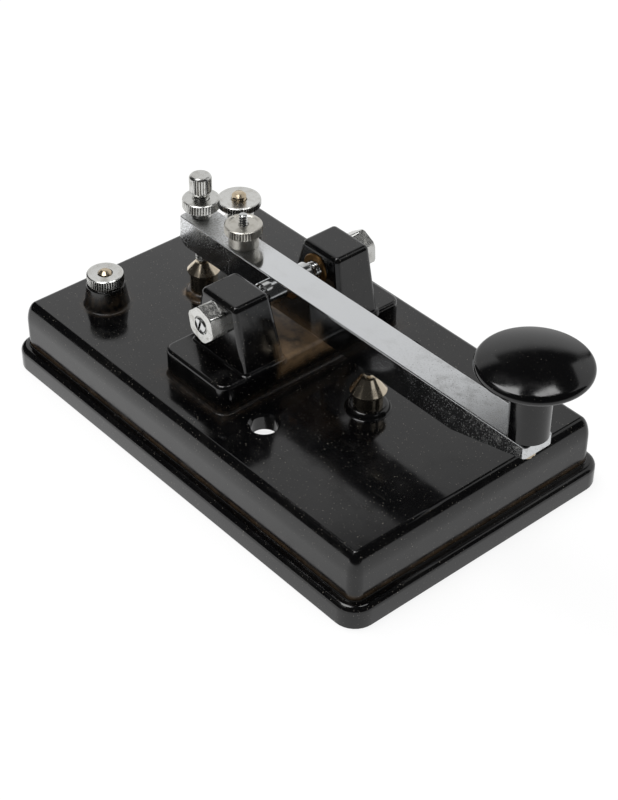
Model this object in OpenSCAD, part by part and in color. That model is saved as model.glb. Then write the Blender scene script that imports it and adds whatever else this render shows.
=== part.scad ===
// Straight telegraph key: a hollow moulded base with two pivot pillars, a plated rocking lever with a
// knob, contact posts, a back stop, a spring with its tension nut, and two wire terminals.
// Origin: on the table, midway along the overall length from the base's rear face to the knob's front.
// +X runs along the lever towards the knob, +Z is up.

/* [Base] */
// Length of the lower tier of the base, which carries the ledge
base_l = 139; // [132:1:150]
// Width of the lower tier of the base
base_w = 85.4; // [80:0.2:96]
// Height of the ledge round the base
ledge_h = 6.4; // [5:0.2:8]
// Width of the ledge round the base
ledge_w = 2.7; // [2.2:0.1:4]
// Height of the top face of the base
base_h = 20.1; // [19:0.1:22]
// How far in the rounding of the base's top edge reaches
top_edge_in = 2.8; // [2:0.1:2.9]
// How far down the rounding of the base's top edge reaches
top_edge_down = 6.1; // [2:0.1:7]
// Thickness of the base's outer walls
wall_t = 3.2; // [2.6:0.1:3.6]
// Thickness of the top of the base
top_t = 4.5; // [4:0.1:4.8]

/* [Plinth and pillars] */
// Height of the plinth above the top face of the base
plinth_h = 8.2; // [7:0.1:9]
// Length of the plinth along the lever
plinth_l = 24.3; // [23:0.1:26]
// Width of the plinth across the lever
plinth_w = 60; // [56:0.5:64]
// Height of the pillars above the plinth
pillar_h = 18.1; // [17:0.1:19]
// Distance from the lever's centre line to the outer face of each pillar
pillar_out = 22.2; // [21:0.1:23]

/* [Lever] */
// Width of the lever bar
lever_w = 9; // [8.6:0.1:9.4]
// Depth of the lever bar
lever_d = 8.8; // [8.4:0.1:9.2]
// Height of the lever's top face above the table
lever_top = 44.5; // [44.3:0.1:45]
// Distance from the base's centre forward to the lever's front end
lever_front = 83.2; // [82.8:0.1:84]
// Distance from the base's centre back to the lever's rear end
lever_rear = 42.4; // [41.2:0.1:43]
// Gap between the lever's contact point and the front contact at rest
contact_gap = 0.5; // [0.3:0.05:0.7]

/* [Knob] */
// Distance from the base's centre forward to the knob's axis
knob_reach = 79.7; // [79:0.1:80]
// Diameter of the knob
knob_d = 27; // [25:0.5:30]
// Height of the knob's widest line above the lever
knob_rise = 19.15; // [18:0.05:21]
// Height of the knob's dome above its widest line
dome_h = 3.5; // [3:0.1:4.5]

/* [Terminals and nuts] */
// Distance of the near terminal from the lever's centre line
near_y = 22.6; // [21:0.2:25]
// Distance of the far terminal from the lever's centre line
far_y = 23.2; // [21:0.2:25]
// Distance from the base's centre back to the terminals
terminal_back = 51.9; // [50:0.1:54]
// Diameter of the near terminal's knurled nut
near_nut_d = 10; // [9.6:0.1:11]
// Diameter of the far terminal's knurled nut
far_nut_d = 12.3; // [10.4:0.1:12.8]
// Width across the flats of the pivot lock nuts
hex_af = 9; // [8.6:0.1:9.4]

/* [Return spring] */
// Mean radius of the spring's coils
coil_r = 1.9; // [1.8:0.05:2.1]
// Diameter of the spring's wire
wire_d = 0.5; // [0.4:0.05:0.6]
// Number of coils
coils = 5; // [4:1:5]

/* [Hidden] */
$fn = 64;

eps = 0.01;
fit = 0.05;
chamfer = 0.5;

// Place of the base's centre along X, which puts the origin midway along the overall length
base_x = (base_l / 2 - knob_reach - knob_d / 2) / 2;

// Base
tier_l = base_l - 2 * ledge_w;
tier_w = base_w - 2 * ledge_w;
ledge_corner_r = 6;
ledge_edge_r = 1.6;
tier_corner_r = 3;
ceiling = base_h - top_t;
hollow_corner_r = 2;
hollow_edge_r = 1;
plinth_front = 6.8;
plinth_top = base_h + plinth_h;
plinth_corner_r = 3;
plinth_edge_r = 1;
plinth_x = base_x + plinth_front - plinth_l / 2;
mount_hole = [base_x + 15.4, 23.9];
mount_hole_r = 3.5;
pad_h = 1;
pad_r = 6;
mount_bevel = 0.6;

// Pillars, narrowing upwards
pillar_top = plinth_top + pillar_h;
pillar_foot_x = [base_x - 15.1, base_x + 6.3];
pillar_top_x = [base_x - 11.1, base_x + 2.7];
pillar_foot_in = 9.2;
pillar_top_in = 12;
pillar_edge_r = 1.5;

// Pivot
pivot_x = base_x - 5;
pivot_z = lever_top - lever_d / 2 + 0.1;
screw_r = 2.5;
trunnion_r = 3.3;
trunnion_half = 7.5;
bush_r = 4.4;
bush_in = 10.4;
bush_out = 20.5;
nut_t = 4.7;
near_nut_turn = 18.5;
far_nut_turn = 27;
point_l = 2.4;
point_gap = 0.35;
screw_proud = 0.4;
cup_r = 1.9;
cup_l = 2.5;
slot_w = 0.9;
slot_d = 1.2;
slot_lean = 17;

// Posts on the lever's centre line
rear_x = base_x - 38.5;
front_x = base_x + 27;
stud_x = base_x - 21.1;
m4_r = 2;
rear_post_r = 4.4;
front_post_r = 4.7;
post_body_r = 3.8;
post_flat_r = 1.95;
rear_post_top = 30.3;
rear_post_rim = 27.7;
contact_disc_r = 3.6;
contact_disc_h = 2.6;
contact_pin_r = 1.1;
rivet_r = 1.5;
rivet_l = 4;
lever_bottom = lever_top - lever_d;
contact_pin_end = 30.4;
front_post_top = contact_pin_end - contact_gap;
front_post_rim = 26;
boss_h = 1.6;
boss_r = 6.2;
boss_edge_r = 1.2;

// Lever
lever_end_x = base_x + lever_front;
lever_start_x = base_x - lever_rear;
taper_x = base_x + 60;
lever_front_d = 3.3;
rear_corner_r = 3;
plan_corner_r = 1;
edge_bevel = 0.35;
knob_x = base_x + knob_reach;
neck_r = 4.9;
neck_h = 11.5;
flare_r = 3.5;
rim_r = 1.4;
knob_seat_z = 40.9;
knob_screw_r = 1.5;
knob_head_r = 2.2;
knob_head_h = 2.5;
knob_screw_l = 9;

// Adjusting pieces on the lever, by height above the table
stud_r = 1.05;
stud_hole_r = 1.5;
stud_top = 53.4;
lever_nut_r = 5;
stop_nut_rim = 47.3;
stop_nut_top = 50;
stop_hub_r = 2.75;
tension_nut_rim = 48.2;
tension_nut_top = 50.6;
tension_hub_r = 4.1;
stop_neck_z = 50.7;
grip_low = 52.4;
grip_top = 56.9;
grip_r = 2.88;

// Terminals
terminal_x = base_x - terminal_back;
terminal_boss_h = 6.3;
terminal_boss_foot_r = 6.6;
terminal_boss_top_r = 5.6;
washer_t = 0.35;
washer_r = 4.9;
washer_stack = base_h + terminal_boss_h + 2 * washer_t;
near_nut_t = 2.4;
far_nut_t = 2;
far_hub_h = 4.8;
terminal_hub_r = 4;
near_screw_top = 30.3;
far_screw_top = 34.8;

// Fastenings under the base
strap_t = 0.8;
strap_w = 7;
strap_z = ceiling - pad_h - strap_t;
nut_under_t = 3.2;
nut_under_af = 7;
under_washer_t = 0.8;
under_washer_r = 4.5;
shank_end = 8.6;
SITES = [[terminal_x, -near_y, 1], [terminal_x, far_y, 1], [rear_x, 0, 0], [stud_x, 0, 1],
    [front_x, 0, 1]];

// Spring: a hook at each end and round coils between, all one wire
eye_r = 1.3;
eye_hole_r = 0.6;
hook_r = 1.1;
hook_seat = hook_r + 0.1;
anchor_eye_z = base_h + 2.6;
stud_eye_z = lever_bottom - 1.9;
spring_low = anchor_eye_z + hook_seat;
spring_high = stud_eye_z - hook_seat;
coil_low = spring_low + 1.6;
coil_high = spring_high - 1.6;
wire_sides = 6;
rings_per_coil = 8;

// A block with rounded corners in plan and a rounded top edge, standing on z = 0. The edge gives how far
// in and how far down its rounding reaches.
module soft_block(size, corner, edge) {
    inner = [size.x - 2 * corner, size.y - 2 * corner];
    translate([-size.x / 2, -inner.y / 2, 0]) cube([size.x, inner.y, size.z - edge.y]);
    translate([-inner.x / 2, -size.y / 2, 0]) cube([inner.x, size.y, size.z - edge.y]);
    translate([-inner.x / 2, -inner.y / 2, 0]) cube([inner.x, inner.y, size.z]);
    for (s = [-1, 1]) {
        rotate([90, 0, 90]) linear_extrude(inner.x, center = true) soft_side(s, size.y, size.z, corner, edge);
        rotate([90, 0, 0]) linear_extrude(inner.y, center = true) soft_side(s, size.x, size.z, corner, edge);
        for (t = [-1, 1])
            translate([s * inner.x / 2, t * inner.y / 2, 0])
                rotate_extrude() soft_corner(corner, size.z, edge);
    }
}

// The strip along one side of a soft block: flat on top, rounded at the outer edge
module soft_side(side, width, height, corner, edge) {
    mirror([side < 0 ? 1 : 0, 0]) translate([width / 2 - corner, 0]) soft_corner(corner, height, edge);
}

module soft_corner(corner, height, edge) {
    square([corner, height - edge.y]);
    square([corner - edge.x, height]);
    translate([corner - edge.x, height - edge.y]) quarter(edge);
}

// Quarter of an ellipse, or of a circle where both sides are alike
module quarter(size) {
    if (size.x == size.y) intersection() {
        circle(size.x);
        square(size.x);
    }
    else polygon([[0, 0], for (a = [0:15:90]) [size.x * cos(a), size.y * sin(a)]]);
}

// One pillar on the +Y side, between its slanting faces, with its upright and top edges rounded
module pillar() {
    hull()
        for (end = [0, 1])
            for (face = [0, 1])
                let (r = pillar_edge_r,
                    xs = end == 0 ? pillar_foot_x : pillar_top_x,
                    inner = end == 0 ? pillar_foot_in : pillar_top_in,
                    x = face == 0 ? xs[0] + r : xs[1] - r,
                    z = end == 0 ? plinth_top - 0.5 : pillar_top - r)
                    for (y = [inner + r, pillar_out - r])
                        translate([x, y, z]) {
                            if (end == 0) cylinder(r = r, h = 0.5, $fn = 32);
                            else sphere(r = r, $fn = 32);
                        }
}

module along_y(x, z, y) {
    translate([x, y, z]) rotate([-90, 0, 0]) children();
}

module base_outside() {
    translate([base_x, 0, 0]) {
        soft_block([base_l, base_w, ledge_h], ledge_corner_r, ledge_edge_r * [1, 1]);
        soft_block([tier_l, tier_w, base_h], tier_corner_r, [top_edge_in, top_edge_down]);
    }
    translate([plinth_x, 0, base_h - 1])
        soft_block([plinth_l, plinth_w, plinth_h + 1], plinth_corner_r, plinth_edge_r * [1, 1]);
    for (s = [0, 1]) mirror([0, s, 0]) pillar();
    for (y = [-near_y, far_y]) translate([terminal_x, y, base_h - 1])
        cylinder(r1 = terminal_boss_foot_r, r2 = terminal_boss_top_r, h = terminal_boss_h + 1);
    for (x = [rear_x, front_x]) translate([x, 0, base_h - 1]) post_boss();
}

// The low ring that each contact post stands in
module post_boss() {
    rotate_extrude() soft_corner(boss_r, boss_h + 1, boss_edge_r * [1, 1]);
}

module base_hollow() {
    under = [tier_l - 2 * wall_t, tier_w - 2 * wall_t, ceiling + eps];
    inside = [plinth_l - 2 * wall_t, plinth_w - 2 * wall_t, plinth_top - top_t - ceiling + 2];
    difference() {
        translate([base_x, 0, -eps]) soft_block(under, hollow_corner_r, hollow_edge_r * [1, 1]);
        for (site = SITES) translate([site.x, site.y, ceiling - pad_h]) cylinder(r = pad_r, h = pad_h + 1);
    }
    translate([plinth_x, 0, ceiling - 2]) soft_block(inside, hollow_corner_r, hollow_edge_r * [1, 1]);
}

module base() {
    color("#1a1a1c") difference() {
        base_outside();
        base_hollow();
        for (site = SITES) translate([site.x, site.y, 0]) cylinder(r = m4_r + fit, h = base_h + 10);
        for (s = [-1, 1]) translate([mount_hole.x, s * mount_hole.y, 0]) {
            cylinder(r = mount_hole_r, h = base_h + 1);
            translate([0, 0, base_h - mount_bevel])
                cylinder(r1 = mount_hole_r, r2 = mount_hole_r + mount_bevel + eps, h = mount_bevel + eps);
        }
        for (s = [0, 1]) mirror([0, s, 0]) {
            along_y(pivot_x, pivot_z, bush_in - 3) cylinder(r = bush_r, h = bush_out - bush_in + 3);
            along_y(pivot_x, pivot_z, bush_in) cylinder(r = screw_r + 3 * fit, h = 15);
        }
    }
}

module pivot_bushes() {
    color("#a88a52")
        for (s = [0, 1]) mirror([0, s, 0]) along_y(pivot_x, pivot_z, bush_in) difference() {
            cylinder(r = bush_r, h = bush_out - bush_in);
            translate([0, 0, -1]) cylinder(r = screw_r + fit, h = bush_out);
        }
}

// Pointed screw whose cone sits in the lever's cross shaft, with a slot at its outer end
module pivot_screw() {
    tip = trunnion_half - point_l + point_gap;
    shoulder = trunnion_half + point_gap;
    end = pillar_out + nut_t + screw_proud;
    difference() {
        along_y(pivot_x, pivot_z, 0) rotate_extrude()
            polygon([[0, tip], [cup_r - 0.1, shoulder - 0.2], [cup_r, shoulder],
                [screw_r, shoulder + chamfer], [screw_r, end - chamfer], [screw_r - chamfer, end], [0, end]]);
        translate([pivot_x, end, pivot_z]) rotate([0, slot_lean, 0])
            cube([slot_w, 2 * slot_d, 2 * screw_r + 1], center = true);
    }
}

module pivot_screw_near() {
    color("#c9ccd0") mirror([0, 1, 0]) pivot_screw();
}

module pivot_screw_far() {
    color("#c9ccd0") pivot_screw();
}

// Hexagonal lock nut with its outer face turned to a chamfer
module pivot_nut(turn) {
    corner_r = hex_af / sqrt(3);
    along_y(pivot_x, pivot_z, pillar_out) difference() {
        intersection() {
            rotate(turn) cylinder(r = corner_r, h = nut_t, $fn = 6);
            rotate_extrude() polygon([[0, 0], [corner_r - chamfer / 2, 0], [corner_r + 0.1, chamfer / 2],
                [corner_r + 0.1, nut_t - chamfer], [hex_af / 2 - 0.1, nut_t], [0, nut_t]]);
        }
        translate([0, 0, -1]) cylinder(r = screw_r + fit, h = nut_t + 2);
    }
}

module pivot_nut_near() {
    color("#c9ccd0") mirror([0, 1, 0]) pivot_nut(near_nut_turn);
}

module pivot_nut_far() {
    color("#c9ccd0") pivot_nut(far_nut_turn);
}

// Side view of the lever: straight on top, tapering underneath to the front end
module lever_side() {
    r = rear_corner_r;
    difference() {
        polygon([[lever_start_x, lever_bottom], [taper_x, lever_bottom],
            [lever_end_x, lever_top - lever_front_d], [lever_end_x, lever_top], [lever_start_x, lever_top]]);
        translate([lever_start_x, lever_bottom]) difference() {
            translate([-1, -1]) square(r + 1);
            translate([r, r]) circle(r);
        }
    }
}

module lever_plan() {
    r = plan_corner_r;
    length = lever_end_x - lever_start_x;
    translate([lever_start_x, -lever_w / 2]) {
        translate([r, 0]) square([length - 2 * r, lever_w]);
        translate([0, r]) square([length, lever_w - 2 * r]);
        for (x = [r, length - r])
            for (y = [r, lever_w - r]) translate([x, y]) circle(r);
    }
}

module lever_section() {
    w = lever_w / 2;
    b = edge_bevel;
    top = lever_top;
    polygon([[-w, 0], [w, 0], [w, top - b], [w - b, top], [b - w, top], [-w, top - b]]);
}

module lever() {
    length = lever_end_x - lever_start_x + 2;
    color("#c5cacd") difference() {
        intersection() {
            rotate([90, 0, 0]) linear_extrude(lever_w + 2, center = true) lever_side();
            linear_extrude(lever_top + 1) lever_plan();
            translate([lever_start_x - 1, 0, 0]) rotate([90, 0, 90]) linear_extrude(length) lever_section();
        }
        along_y(pivot_x, pivot_z, -lever_w) cylinder(r = trunnion_r, h = 2 * lever_w);
        translate([rear_x, 0, 0]) cylinder(r = m4_r + fit, h = lever_top + 1);
        translate([stud_x, 0, 0]) cylinder(r = stud_hole_r, h = lever_top + 1);
        translate([front_x, 0, 0]) cylinder(r = rivet_r, h = lever_bottom + rivet_l);
        translate([knob_x, 0, 0]) cylinder(r = knob_screw_r + fit, h = lever_top + 1);
        translate([knob_x, 0, 0]) cylinder(r = knob_head_r + chamfer, h = knob_seat_z);
    }
}

// Cross shaft held in the lever, with a hollow cone in each end for the pointed screws
module trunnion() {
    color("#b9bdc2") along_y(pivot_x, pivot_z, 0) difference() {
        cylinder(r = trunnion_r, h = 2 * trunnion_half, center = true);
        for (s = [0, 1]) mirror([0, 0, s])
            translate([0, 0, trunnion_half - cup_l]) cylinder(r1 = 0, r2 = cup_r + 0.2, h = cup_l + eps);
    }
}

// Contact riveted into the underside of the lever
module lever_contact() {
    color("#c9c2b4") translate([front_x, 0, 0]) {
        translate([0, 0, lever_bottom - contact_disc_h]) cylinder(r = contact_disc_r, h = contact_disc_h);
        translate([0, 0, contact_pin_end]) cylinder(r = contact_pin_r, h = lever_bottom - contact_pin_end);
        translate([0, 0, lever_bottom - 1]) cylinder(r = rivet_r - fit, h = rivet_l + 0.5);
    }
}

// Half outline of the knob: shallow dome, rolled rim, cone underneath and a flare into the neck. The cone
// is the line that passes between the rim's circle and the flare's and touches both.
module knob_outline() {
    rim = [knob_d / 2 - rim_r, lever_top + knob_rise];
    dome_r = (pow(rim.x, 2) + pow(dome_h, 2) - pow(rim_r, 2)) / (2 * (dome_h - rim_r));
    flare = [neck_r + flare_r, lever_top + neck_h];
    run = rim - flare;
    lean = atan2(run.y, run.x) - acos(-(flare_r + rim_r) / norm(run));
    touch = [cos(lean), sin(lean)];
    intersection() {
        translate([0, rim.y + dome_h - dome_r]) circle(dome_r, $fn = 128);
        translate([0, rim.y]) square([rim.x * dome_r / (dome_r - rim_r), dome_h + 1]);
    }
    translate(rim) circle(rim_r);
    difference() {
        polygon([[0, lever_top], [neck_r, lever_top], [neck_r, flare.y], flare - flare_r * touch,
            rim + rim_r * touch, rim, [0, rim.y]]);
        translate(flare) circle(flare_r);
    }
}

module knob() {
    color("#161618") translate([knob_x, 0, 0]) difference() {
        rotate_extrude() knob_outline();
        translate([0, 0, lever_top - 1]) cylinder(r = knob_screw_r + fit, h = knob_screw_l + 2);
    }
}

module knob_screw() {
    color("#b59a6a") translate([knob_x, 0, 0]) {
        translate([0, 0, knob_seat_z - knob_head_h])
            rotate_extrude() soft_head(knob_head_r, knob_head_h, 0.7);
        translate([0, 0, knob_seat_z - 1])
            cylinder(r = knob_screw_r, h = lever_top + knob_screw_l - knob_seat_z + 1);
    }
}

// Half outline of a low screw head whose crown points down
module soft_head(r, h, edge) {
    square([r - edge, h]);
    translate([0, edge]) square([r, h - edge]);
    translate([r - edge, edge]) circle(edge);
}

// Long adjusting screw: grip on top, shank through the lever, rounded tip on the rear post
module back_stop_screw() {
    color("#c9ccd0") translate([rear_x, 0, 0]) rotate_extrude()
        polygon([[0, rear_post_top + fit], [1.2, rear_post_top + fit], [m4_r, rear_post_top + 0.8],
            [m4_r, stop_neck_z], [grip_r, grip_low], [grip_r, grip_top - chamfer],
            [grip_r - chamfer, grip_top], [0, grip_top]]);
}

// Knurled nut outline: rim above, hub below, with a shallow dish in the top face
module knurled_nut(rim_r, rim_low, rim_high, hub_r, hub_low, bore_r, dish) {
    c = 0.25;
    rotate_extrude() polygon([[bore_r, hub_low], [hub_r, hub_low], [hub_r, rim_low], [rim_r - c, rim_low],
        [rim_r, rim_low + c], [rim_r, rim_high - c], [rim_r - c, rim_high], [rim_r - 0.9, rim_high],
        [rim_r - 1.4, rim_high - dish], [bore_r, rim_high - dish]]);
}

module back_stop_nut() {
    color("#c9ccd0") translate([rear_x, 0, 0])
        knurled_nut(lever_nut_r, stop_nut_rim, stop_nut_top, stop_hub_r, lever_top, m4_r + fit, 0.15);
}

// Threaded rod through the lever, flattened below into an eye for the spring
module tension_stud() {
    color("#b9bdc2") translate([stud_x, 0, 0]) {
        translate([0, 0, lever_bottom - 0.6]) cylinder(r = stud_r, h = stud_top - lever_bottom + 0.3);
        translate([0, 0, stud_top - 0.3]) cylinder(r1 = stud_r, r2 = stud_r - 0.3, h = 0.3);
        translate([0, 0, stud_eye_z]) eye(lever_bottom - 0.5 - stud_eye_z);
    }
}

// Flat lug with a cross hole at its round end. It grows up to the given height, or down if that is below 0.
module eye(height) {
    difference() {
        union() {
            translate([-eye_r, -0.5, min(height, 0)]) cube([2 * eye_r, 1, abs(height)]);
            along_y(0, 0, -0.5) cylinder(r = eye_r, h = 1);
        }
        along_y(0, 0, -1) cylinder(r = eye_hole_r, h = 2);
    }
}

module tension_nut() {
    bore_r = stud_r + fit;
    color("#c9ccd0") translate([stud_x, 0, 0])
        knurled_nut(lever_nut_r, tension_nut_rim, tension_nut_top, tension_hub_r, lever_top, bore_r, 0.6);
}

module spring_anchor() {
    color("#a88a52") translate([stud_x, 0, 0]) {
        translate([0, 0, shank_end]) cylinder(r = m4_r, h = base_h - shank_end);
        translate([0, 0, base_h]) cylinder(r = 3, h = 1.2);
        translate([0, 0, anchor_eye_z]) eye(base_h + 1 - anchor_eye_z);
    }
}

// The wire's centre line: lower hook, coils, upper hook, as points for the swept tube
function hook(z, dir, a0, a1, n) =
    [for (i = [0:n]) let (a = a0 + (a1 - a0) * i / n) [0, hook_r * sin(a), z + dir * hook_r * cos(a)]];

function coil_points() =
    let (n = coils * rings_per_coil)
    [for (i = [0:n]) let (a = 90 + 360 * i / rings_per_coil)
        [coil_r * cos(a), coil_r * sin(a), coil_low + (coil_high - coil_low) * i / n]];

wire_path = concat(
    hook(spring_low, -1, -110, 90, 6),
    [[0, hook_r, spring_low + 0.7], [0, hook_r + 0.4, spring_low + 1.3]],
    coil_points(),
    [[0, hook_r + 0.4, spring_high - 1.3], [0, hook_r, spring_high - 0.7]],
    hook(spring_high, 1, 90, -110, 6));

function unit(v) = v / norm(v);

function tangent(p, i) = unit(p[min(i + 1, len(p) - 1)] - p[max(i - 1, 0)]);

// A side direction square to the wire that doesn't spin from ring to ring
function carried(side, t) = unit(side - t * (side * t));

function sides(p, i, side) =
    i == len(p) ? [] : let (s = carried(side, tangent(p, i))) concat([s], sides(p, i + 1, s));

module wire(path, r, n) {
    across = sides(path, 0, [1, 0, 0]);
    rings = len(path);
    points = [for (i = [0:rings - 1]) let (s = across[i], b = cross(tangent(path, i), s))
        for (k = [0:n - 1]) path[i] + r * (s * cos(360 * k / n) + b * sin(360 * k / n))];
    skin = [for (i = [0:rings - 2]) for (k = [0:n - 1])
        let (a = i * n + k, b = i * n + (k + 1) % n)
        for (f = [[a, a + n, b], [b, a + n, b + n]]) f];
    lids = [for (k = [1:n - 2]) for (f = [[0, k, k + 1],
        [(rings - 1) * n, (rings - 1) * n + k + 1, (rings - 1) * n + k]]) f];
    polyhedron(points, concat(skin, lids), convexity = 10);
}

// Distance between points of the wire that are more than half a coil apart along it
apart = 5;
wire_gap = min([for (i = [0:len(wire_path) - 1]) for (j = [i + apart:1:len(wire_path) - 1])
    norm(wire_path[i] - wire_path[j])]) - wire_d;
echo(spring_gap = wire_gap);

module return_spring() {
    color("#9a9ea4") translate([stud_x, 0, 0]) wire(wire_path, wire_d / 2, wire_sides);
}

// Contact post: body, overhanging rim, cone and small flat, on a shank through the base
module post(x, r, rim, top) {
    foot = base_h + boss_h;
    translate([x, 0, 0]) rotate_extrude()
        polygon([[0, shank_end], [m4_r, shank_end], [m4_r, foot], [post_body_r, foot],
            [post_body_r, rim - 0.3], [r, rim - 0.3], [r, rim], [post_flat_r, top], [0, top]]);
}

module rear_contact() {
    color("#b8aa94") post(rear_x, rear_post_r, rear_post_rim, rear_post_top);
}

module front_contact() {
    color("#b8aa94") post(front_x, front_post_r, front_post_rim, front_post_top);
}

module terminal_screw(y, top) {
    translate([terminal_x, y, 0]) rotate_extrude()
        polygon([[0, shank_end], [m4_r, shank_end], [m4_r, top - chamfer], [m4_r - chamfer, top], [0, top]]);
}

module terminal_screw_near() {
    color("#b59a6a") terminal_screw(-near_y, near_screw_top);
}

module terminal_screw_far() {
    color("#b59a6a") terminal_screw(far_y, far_screw_top);
}

module terminal_nut_near() {
    top = washer_stack + near_nut_t;
    color("#c9ccd0") translate([terminal_x, -near_y, 0])
        knurled_nut(near_nut_d / 2, washer_stack, top, terminal_hub_r, washer_stack, m4_r + fit, 0.15);
}

module terminal_nut_far() {
    low = washer_stack + far_hub_h;
    color("#c9ccd0") translate([terminal_x, far_y, 0])
        knurled_nut(far_nut_d / 2, low, low + far_nut_t, terminal_hub_r, washer_stack, m4_r + fit, 0.25);
}

module washer(r, t) {
    difference() {
        cylinder(r = r, h = t);
        translate([0, 0, -1]) cylinder(r = m4_r + fit, h = t + 2);
    }
}

module terminal_washers() {
    color("#8d8a84")
        for (y = [-near_y, far_y])
            translate([terminal_x, y, base_h + terminal_boss_h]) washer(washer_r, 2 * washer_t);
}

// Flat brass strip with a round eye at each end, from one screw to another
module strap(from, to) {
    run = to - from;
    translate([from.x, from.y, strap_z]) rotate(atan2(run.y, run.x)) difference() {
        union() {
            translate([0, -strap_w / 2, 0]) cube([norm(run), strap_w, strap_t]);
            for (x = [0, norm(run)]) translate([x, 0, 0]) cylinder(r = strap_w / 2 + 0.8, h = strap_t);
        }
        for (x = [0, norm(run)]) translate([x, 0, -1]) cylinder(r = m4_r + fit, h = strap_t + 2);
    }
}

module strap_lever() {
    color("#a88a52") strap([terminal_x, -near_y], [stud_x, 0]);
}

module strap_contact() {
    color("#a88a52") strap([terminal_x, far_y], [front_x, 0]);
}

function under_z(site) = ceiling - pad_h - site[2] * strap_t - under_washer_t;

module under_washers() {
    color("#9a9ea4")
        for (site = SITES) translate([site.x, site.y, under_z(site)]) washer(under_washer_r, under_washer_t);
}

module under_nuts() {
    color("#b59a6a")
        for (site = SITES)
            translate([site.x, site.y, under_z(site) - nut_under_t]) difference() {
                cylinder(r = nut_under_af / sqrt(3), h = nut_under_t, $fn = 6);
                translate([0, 0, -1]) cylinder(r = m4_r + fit, h = nut_under_t + 2);
            }
}

base();
pivot_bushes();
pivot_screw_near();
pivot_screw_far();
pivot_nut_near();
pivot_nut_far();
lever();
trunnion();
lever_contact();
knob();
knob_screw();
back_stop_screw();
back_stop_nut();
tension_stud();
tension_nut();
return_spring();
spring_anchor();
rear_contact();
front_contact();
terminal_screw_near();
terminal_screw_far();
terminal_nut_near();
terminal_nut_far();
terminal_washers();
strap_lever();
strap_contact();
under_washers();
under_nuts();
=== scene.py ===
# %% [markdown]
# A straight telegraph key closes a circuit by hand: pressing the knob rocks a plated lever between two
# pointed screws until a contact under the lever meets a post on the base. The base is one hollow moulding
# of black phenolic resin, and the hardware is turned, knurled and plated metal.
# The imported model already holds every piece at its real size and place. This script dresses it: it makes
# finer meshes where an eye would miss detail, and gives every surface a finish.

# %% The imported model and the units
import math

import bmesh
import bpy
from mathutils import Matrix, Vector


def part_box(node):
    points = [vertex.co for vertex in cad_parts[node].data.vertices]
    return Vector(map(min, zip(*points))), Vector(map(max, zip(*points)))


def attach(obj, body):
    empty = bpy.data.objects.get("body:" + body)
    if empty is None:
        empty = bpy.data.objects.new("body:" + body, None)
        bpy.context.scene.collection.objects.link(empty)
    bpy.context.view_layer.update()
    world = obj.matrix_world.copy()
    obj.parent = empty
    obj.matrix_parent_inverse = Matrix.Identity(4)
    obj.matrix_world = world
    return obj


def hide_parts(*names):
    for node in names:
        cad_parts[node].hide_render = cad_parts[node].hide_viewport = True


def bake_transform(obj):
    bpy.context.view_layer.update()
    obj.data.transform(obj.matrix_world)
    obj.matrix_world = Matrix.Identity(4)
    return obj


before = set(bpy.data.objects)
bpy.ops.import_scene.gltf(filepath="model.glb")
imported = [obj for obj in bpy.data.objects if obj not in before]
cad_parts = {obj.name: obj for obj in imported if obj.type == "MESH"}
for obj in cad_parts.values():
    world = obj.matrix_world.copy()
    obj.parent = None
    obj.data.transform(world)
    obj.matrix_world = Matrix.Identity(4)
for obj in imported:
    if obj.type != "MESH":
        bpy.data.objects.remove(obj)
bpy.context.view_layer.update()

MM = 0.001
TURN = 2 * math.pi


# %% [markdown]
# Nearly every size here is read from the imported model, so a piece always sits where its solid does. A
# node's box gives its axis and its ends, and only what a box can't tell, such as the width of a chamfer,
# is written down in millimetres.

# %% Where a node is, in millimetres
def low_of(name):
    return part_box(name)[0] / MM


def high_of(name):
    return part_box(name)[1] / MM


def middle_of(name):
    return (low_of(name) + high_of(name)) / 2


def radius_of(name):
    return (high_of(name).x - low_of(name).x) / 2


def stand_of(name):
    """A standing node's middle, its lowest height and its highest."""
    return middle_of(name), low_of(name).z, high_of(name).z


BASE = middle_of("base")
LEVER_TOP = high_of("lever").z
LEVER_BOTTOM = low_of("lever").z
PIVOT = middle_of("trunnion")
print("base centre", BASE, "pivot", PIVOT)


# %% [markdown]
# The camera stands where the photographer's did. Its place and angles came from fitting the outline of
# the base, whose corners are square, to the picture.

# %% The camera
def new_object(name, data):
    made = bpy.data.objects.new(name, data)
    bpy.context.scene.collection.objects.link(made)
    return made


LENS = 84.966
CAMERA_PLACE = Vector((294.91, -251.74, 313.55))
CAMERA_TURN = (49.0676, 38.4177, 0.2229)
data = bpy.data.cameras.new("camera")
data.lens = LENS
data.sensor_width = 36
data.clip_start = 0.01
camera = new_object("camera", data)
az, el, roll = (math.radians(a) for a in CAMERA_TURN)
back = Vector((math.sin(az) * math.cos(el), -math.cos(az) * math.cos(el), math.sin(el)))
level = Vector((math.cos(az), math.sin(az), 0))
rise = back.cross(level)
right = math.cos(roll) * level + math.sin(roll) * rise
up = math.cos(roll) * rise - math.sin(roll) * level
place = (CAMERA_PLACE + Vector((BASE.x, 0, 0))) * MM
rows = [(right[i], up[i], back[i], place[i]) for i in range(3)]
camera.matrix_world = Matrix((*rows, (0, 0, 0, 1)))
bpy.context.scene.camera = camera
bpy.context.scene.view_settings.view_transform = "Standard"


# %% [markdown]
# Colours are written as the sRGB hex values that a picture shows. The shader wants linear light, so one
# function turns the one into the other.

# %% Colour and node helpers
def linear(hex_colour):
    parts = [int(hex_colour[i:i + 2], 16) / 255 for i in (1, 3, 5)]
    return [p / 12.92 if p <= 0.04045 else ((p + 0.055) / 1.055) ** 2.4 for p in parts] + [1.0]


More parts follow.
